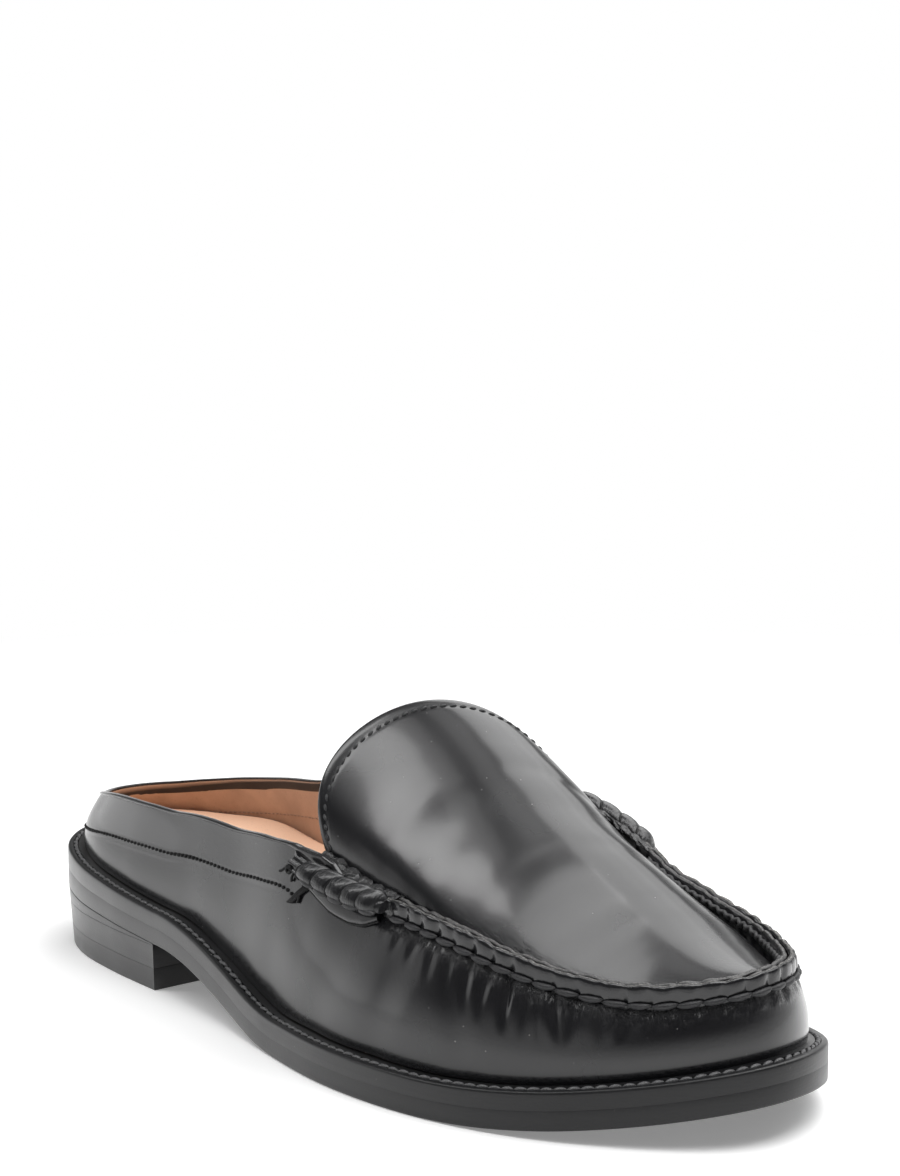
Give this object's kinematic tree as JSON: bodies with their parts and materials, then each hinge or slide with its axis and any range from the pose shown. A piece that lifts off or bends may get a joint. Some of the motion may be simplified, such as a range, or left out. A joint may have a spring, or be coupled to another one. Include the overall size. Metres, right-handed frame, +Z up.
{
  "type": "flat mule",
  "caption": "Right moccasin-toe mule with a raised seam, rolled seam ends, low collar, welted sole and low block heel.",
  "frame": {"origin": "on the floor under the middle of the sole's length and width", "axes": "+X towards the toe, +Y towards the inner side of the foot, +Z up"},
  "size_m": [0.264, 0.0984, 0.0835],
  "materials": {
    "top_piece_rubber": "matt black rubber with fine scuffs",
    "heel_stack": "inked and burnished heel stack with faint layer lines",
    "outsole_rubber": "satin black sole with a trimmed edge",
    "welt_leather": "inked welt, satin edge, matt top with a sunk stitch channel",
    "sock_leather": "peach tan padded sock, soft matt",
    "upper_leather": "black brush-off leather, high shine with fine creases",
    "roll_leather": "black leather roll, satin, whip-stitched",
    "lining_leather": "tan lining, matt, darker along the collar",
    "seam_thread": "waxed black thread"
  },
  "bodies": {
    "root": {"heel_top_piece": "top_piece_rubber", "heel_lift": "heel_stack", "heel_wedge": "heel_stack", "outsole": "outsole_rubber", "welt": "welt_leather", "insole": "sock_leather", "upper": "upper_leather", "apron": "upper_leather", "roll_lateral": "roll_leather", "roll_medial": "roll_leather"}
  },
  "joints": []
}
